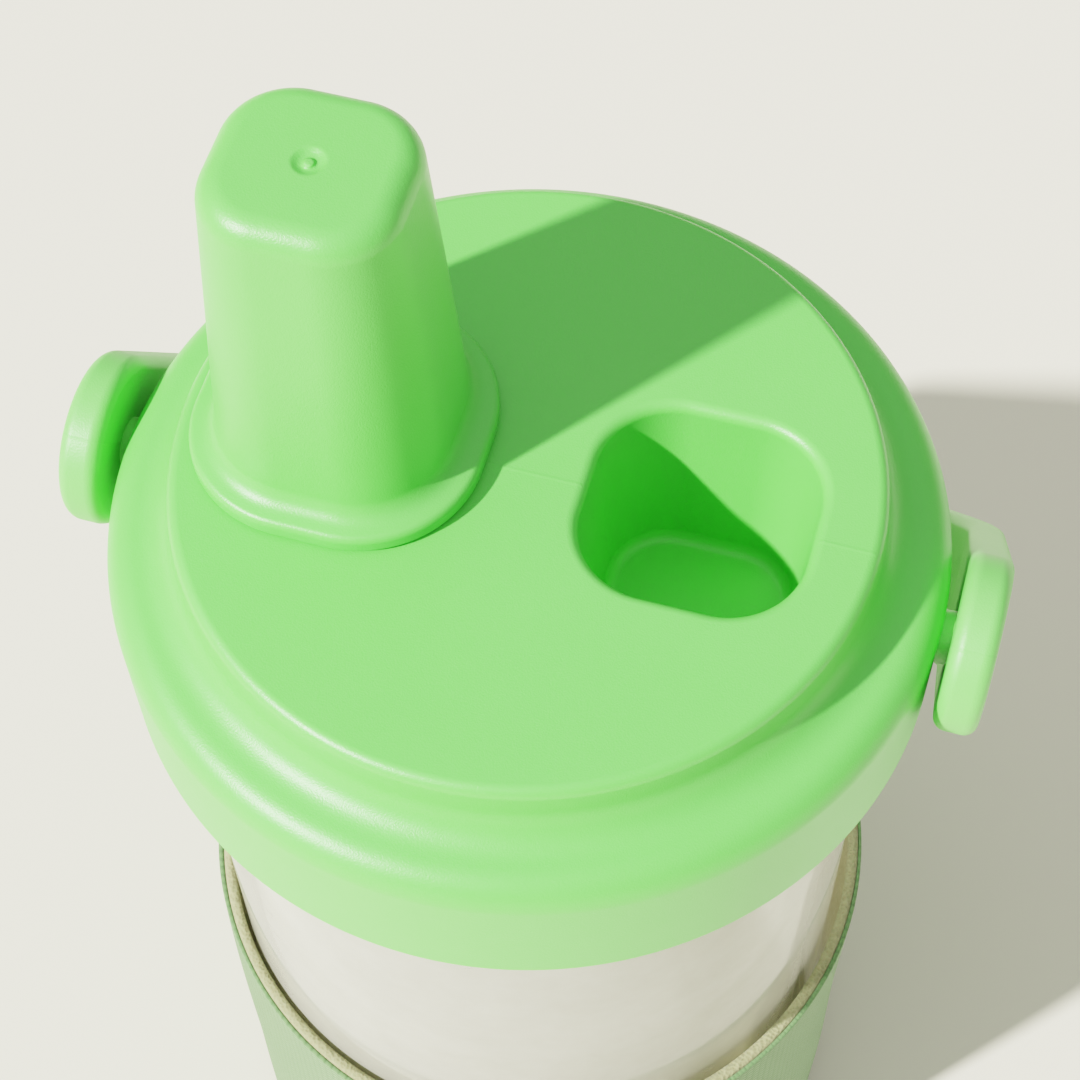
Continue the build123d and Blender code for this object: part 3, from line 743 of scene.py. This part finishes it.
def handle_finish():
    """The handle's plastic, a shade paler, with the moulding's joint line round its rim."""
    finish = moulded("handle_green", HANDLE_GREEN, HANDLE_GREEN_DEEP, rough=0.42)
    fall = finish.y * math.cos(BAND_REST) - (finish.z - PIVOT.z) * math.sin(BAND_REST)
    end = fall.below(-2 * MM)
    line = (1 - abs(finish.y * math.sin(BAND_REST) + (finish.z - PIVOT.z) * math.cos(BAND_REST)) / (0.2 * MM))
    finish.feed("Normal", finish.bump(line.held() * end, 0.03 * MM, 0.8, finish.grain))
    return finish


def clear_finish():
    """Clear wall: see-through face on, glassier towards its edges, with faint wiping marks."""
    finish = Finish("clear_wall", IOR=1.5, Specular_IOR_Level=0.6)
    facing = finish.node("ShaderNodeLayerWeight", {}, {"Blend": 0.35})["Facing"]
    smear = finish.noise(9 * MM, 4.0, 0.6)
    finish.feed("Base Color", finish.mix(smear, (0.86, 0.85, 0.72), (0.94, 0.93, 0.81)))
    finish.feed("Alpha", (0.20 + 0.50 * facing ** 2.5 + 0.16 * smear).held())
    finish.feed("Roughness", (0.03 + 0.06 * smear).held())
    finish.feed("Normal", finish.bump(finish.noise(14 * MM, 1.0), 0.15 * MM, 0.35))
    return finish


def knit_height(finish, centre_r, wale, course):
    """Relief of a fine plain knit: columns of V-shaped stitches."""
    angle = finish.node("ShaderNodeMath", {"operation": "ARCTAN2"}, (finish.y, finish.x))["Value"]
    columns = round(TURN * centre_r / wale)
    column = angle * (columns / TURN)
    lean = abs(column.fraction() - 0.5)
    ridge = 1 - (lean * 2) ** 2.5
    loop = ((finish.z / course + lean * 1.1) * TURN).sine() * 0.5 + 0.5
    return ridge * 0.55 + loop * 0.45


def knit_finish(name, colour, deep, centre_r, wale=1.1 * MM, course=0.9 * MM):
    """Fine green knit with a fuzzy sheen, slightly uneven dye, and painted shade down between the stitches.
    """
    finish = Finish(name, Specular_IOR_Level=0.2, Sheen_Weight=0.45, Sheen_Roughness=0.5,
                    Sheen_Tint=(0.75, 0.95, 0.68, 1.0))
    height = knit_height(finish, centre_r, wale, course)
    fuzz = finish.noise(0.35 * MM, 4.0, 0.7)
    dye = finish.noise(16 * MM, 3.0, 0.6)
    # painted shade: the colour is darker where the knit's relief is low, down between the stitches, mixed
    # with the uneven dye
    shade = (height * 0.55 + fuzz * 0.3 + dye * 0.25).held()
    finish.feed("Base Color", finish.mix(shade, deep, colour))
    finish.feed("Roughness", (0.75 + 0.2 * fuzz).held())
    finish.feed("Normal", finish.bump(height + 0.5 * fuzz, 0.16 * MM, 0.8))
    return finish


def foam_finish():
    """Beige foam with fine pores painted darker inside as painted shade, and short fibres over its cut edge.
    """
    finish = Finish("sleeve_foam", Specular_IOR_Level=0.15, Sheen_Weight=0.2)
    pores = finish.node("ShaderNodeTexVoronoi", {"feature": "F1"}, {"Vector": finish.where,
                                                                     "Scale": 1 / (0.45 * MM)})["Distance"]
    fibre = finish.noise(0.25 * MM, 3.0, 0.7)
    worn = finish.noise(6 * MM, 3.0, 0.6)
    near_cut = ((finish.z - (SLEEVE_TOP_Z - 2 * MM)) / (2 * MM)).held()
    # painted shade: darker down in the pores, mixed with a random worn tone
    body = finish.mix((pores * 0.8 + worn * 0.4).held(), FOAM_DEEP_AND_PORE_SHADE, FOAM_BEIGE)
    finish.feed("Base Color", finish.mix(near_cut * (fibre * 1.6 - 0.5).held(), body, (0.30, 0.36, 0.20)))
    finish.feed("Roughness", (0.85 + 0.1 * fibre).held())
    finish.feed("Normal", finish.bump(pores + 0.6 * fibre, 0.14 * MM, 0.9))
    return finish


def silicone_finish(name, colour, rough=0.35):
    """Milky soft silicone with a light bloom on it."""
    finish = Finish(name, Transmission_Weight=0.35, IOR=1.42, Subsurface_Weight=0.3,
                    Subsurface_Radius=(1.0, 0.95, 0.85), Subsurface_Scale=2 * MM)
    bloom = finish.noise(5 * MM, 4.0, 0.6)
    finish.feed("Base Color", finish.mix(bloom, tuple(0.93 * c for c in colour), colour))
    finish.feed("Roughness", (rough + 0.12 * bloom).held())
    finish.feed("Normal", finish.bump(finish.noise(0.3 * MM, 2.0), 0.006 * MM))
    return finish


def rubber_finish():
    """Dark soft rubber with a sanded grain, rubbed paler in places."""
    finish = Finish("foot_rubber", Specular_IOR_Level=0.3)
    rubbed = finish.noise(7 * MM, 4.0, 0.65)
    grain = finish.noise(0.2 * MM, 2.0)
    finish.feed("Base Color", finish.mix(rubbed, (0.055, 0.095, 0.045), (0.10, 0.155, 0.08)))
    finish.feed("Roughness", (0.6 + 0.25 * grain).held())
    finish.feed("Normal", finish.bump(grain, 0.03 * MM))
    return finish


def thread_finish():
    """Twisted sewing thread, painted darker in the grooves of its twist as painted shade."""
    finish = Finish("stitch_thread", Specular_IOR_Level=0.3, Sheen_Weight=0.2)
    twist = ((finish.z / (0.35 * MM) + finish.x / (0.5 * MM)) * TURN).sine() * 0.5 + 0.5
    # painted shade: darker in the grooves of the twist, where its relief is low
    finish.feed("Base Color", finish.mix(twist, (0.20, 0.34, 0.14), (0.42, 0.60, 0.33)))
    finish.feed("Roughness", (0.55 + 0.2 * twist).held())
    finish.feed("Normal", finish.bump(twist, 0.04 * MM))
    return finish


def floor_finish():
    """Plain pale table top."""
    finish = Finish("table_top", Specular_IOR_Level=0.15)
    mottle = finish.noise(120 * MM, 3.0, 0.5)
    finish.feed("Base Color", finish.mix(mottle, (0.80, 0.775, 0.645), (0.82, 0.795, 0.675)))
    finish.feed("Roughness", (0.75 + 0.1 * mottle).held())
    return finish


LID_GREEN = (0.142, 0.66, 0.108)
LID_GREEN_DEEP = (0.118, 0.61, 0.088)
HANDLE_GREEN = (0.175, 0.66, 0.135)
HANDLE_GREEN_DEEP = (0.150, 0.62, 0.112)
FOAM_BEIGE = (0.38, 0.36, 0.20)
# the deep foam colour is also the painted shade inside the pores
FOAM_DEEP_AND_PORE_SHADE = (0.22, 0.20, 0.10)
# the deep knit and tape colours are both a darker dye and the painted shade between the stitches
KNIT_GREEN = (0.15, 0.27, 0.115)
KNIT_DEEP_AND_SHADE = (0.085, 0.175, 0.07)
TAPE_GREEN = (0.135, 0.245, 0.105)
TAPE_DEEP_AND_SHADE = (0.078, 0.16, 0.062)


# ---------------------------------------------------------------- assembly

def add_lid():
    shell = lid_shell()
    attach(shell, "lid")
    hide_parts("lid_cover")
    collar = spout_collar()
    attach(collar, "lid")
    dress(lid_finish(), shell, collar)
    stud = moulded("stud_green", LID_GREEN_DEEP, (0.2, 0.62, 0.14))
    dress(stud, "handle_stud_left", "handle_stud_right")
    insert = moulded("insert_white", (0.80, 0.82, 0.76), (0.74, 0.77, 0.70), rough=0.36)
    dress(insert, "lid_insert", "spout_stem")


def add_cap():
    cap = spout_cap_skin()
    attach(cap, "cap")
    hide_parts("spout_cap")
    dress(cap_finish(), cap)


def add_handle():
    band = carry_band()
    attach(band, "carry_handle")
    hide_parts("handle")
    dress(handle_finish(), band)


def add_body():
    wall = clear_body()
    ridge = thread_ridge()
    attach(wall, "bottle")
    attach(ridge, "bottle")
    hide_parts("bottle_body")
    dress(clear_finish(), wall, ridge)


def add_sleeve():
    foam = sleeve_wall("sleeve_lining", FOAM_IN_R, FOAM_R, WALL_Z, SLEEVE_TOP_Z, 0.5 * MM, 0.0)
    knit = sleeve_wall("sleeve_knit", FOAM_R + 0.02 * MM, SLEEVE_R, WALL_Z, high("sleeve_fabric").z, 0.2 * MM,
                       0.12 * MM)
    bottom = sleeve_bottom()
    strip = seam_strip()
    stitches = stitch_rows()
    for piece in (foam, knit, bottom, strip, stitches):
        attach(piece, "sleeve")
    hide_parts("sleeve_foam")
    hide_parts("sleeve_fabric")
    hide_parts("sleeve_base")
    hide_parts("sleeve_seam_tape")
    dress(foam_finish(), foam)
    dress(knit_finish("sleeve_knit", KNIT_GREEN, KNIT_DEEP_AND_SHADE, SLEEVE_R), knit)
    dress(knit_finish("sleeve_bottom_knit", KNIT_GREEN, KNIT_DEEP_AND_SHADE, SLEEVE_R), bottom)
    dress(knit_finish("seam_tape", TAPE_GREEN, TAPE_DEEP_AND_SHADE, SLEEVE_R, 0.5 * MM, 0.4 * MM), strip)
    dress(thread_finish(), stitches)
    dress(rubber_finish(), "sleeve_foot")


def add_soft_parts():
    dress(silicone_finish("clear_silicone", (0.84, 0.86, 0.82)), "lid_gasket", "stem_ring", "vent_valve",
          "collar_seal", "cap_pad")
    dress(silicone_finish("mouth_silicone", (0.88, 0.89, 0.85), 0.3), "mouthpiece", "straw")


# ---------------------------------------------------------------- table, light and camera

def add_table():
    mesh = bmesh.new()
    bmesh.ops.create_grid(mesh, x_segments=8, y_segments=8, size=3.0)
    table = finish_mesh("table_top", mesh)
    dress(floor_finish(), table)


def add_light():
    world = bpy.data.worlds.new("room")
    bpy.context.scene.world = world
    world.use_nodes = True
    room = Nodes(world.node_tree)
    sky = room.tree.nodes["Background"]
    sky.inputs["Strength"].default_value = SKY_STRENGTH
    direction = room.node("ShaderNodeTexCoord")["Generated"]
    way_up = room.node("ShaderNodeSeparateXYZ", {}, {"Vector": direction})["Z"]
    stops = [(place, (level, 0.985 * level, 0.94 * level, 1.0)) for place, level in SKY_LEVELS]
    fade = room.node("ShaderNodeValToRGB", {"stops": stops}, {"Fac": way_up})["Color"]
    room.set_input(sky.inputs["Color"], fade)
    sun = bpy.data.lights.new("window", "SUN")
    sun.energy = SUN_STRENGTH
    sun.angle = SUN_SPREAD
    sun.color = SUN_COLOUR
    lamp = bpy.data.objects.new("window", sun)
    bpy.context.scene.collection.objects.link(lamp)
    way = Vector((math.cos(SUN_HEADING) * math.cos(SUN_HEIGHT), math.sin(SUN_HEADING) * math.cos(SUN_HEIGHT),
                  -math.sin(SUN_HEIGHT)))
    lamp.rotation_euler = way.to_track_quat("-Z", "Y").to_euler()


def add_camera():
    lens = bpy.data.cameras.new("camera")
    lens.lens = LENS
    lens.sensor_width = SENSOR
    lens.clip_start = 0.01
    camera = bpy.data.objects.new("camera", lens)
    bpy.context.scene.collection.objects.link(camera)
    turn = Matrix.Rotation(AZIMUTH, 4, "Z") @ Matrix.Rotation(TURN / 4 - ELEVATION, 4, "X")
    turn = turn @ Matrix.Rotation(ROLL, 4, "Z")
    back = Vector((math.sin(AZIMUTH) * math.cos(ELEVATION), -math.cos(AZIMUTH) * math.cos(ELEVATION),
                   math.sin(ELEVATION)))
    camera.matrix_world = Matrix.Translation(TARGET + back * CAMERA_REACH) @ turn
    bpy.context.scene.camera = camera


SUN_HEADING = math.radians(47)
SUN_HEIGHT = math.radians(38)
SUN_STRENGTH = 8.7
SUN_SPREAD = math.radians(2.2)
SUN_COLOUR = (1.0, 0.97, 0.90)
SKY_STRENGTH = 0.70
SKY_LEVELS = ((0.0, 0.10), (0.95, 1.30))    # (height, brightness), level and near the zenith

AZIMUTH = math.radians(17.070)
ELEVATION = math.radians(58.511)
ROLL = math.radians(-1.232)
TARGET = Vector((2.292 * MM, -3.867 * MM, SHOULDER_Z))
CAMERA_REACH = 234.15 * MM
LENS = 79.98
SENSOR = 36

add_camera()
add_light()
add_table()
add_lid()
add_cap()
add_handle()
add_body()
add_sleeve()
add_soft_parts()
bpy.context.scene.view_settings.view_transform = "Filmic"
bpy.context.scene.view_settings.look = "Medium High Contrast"
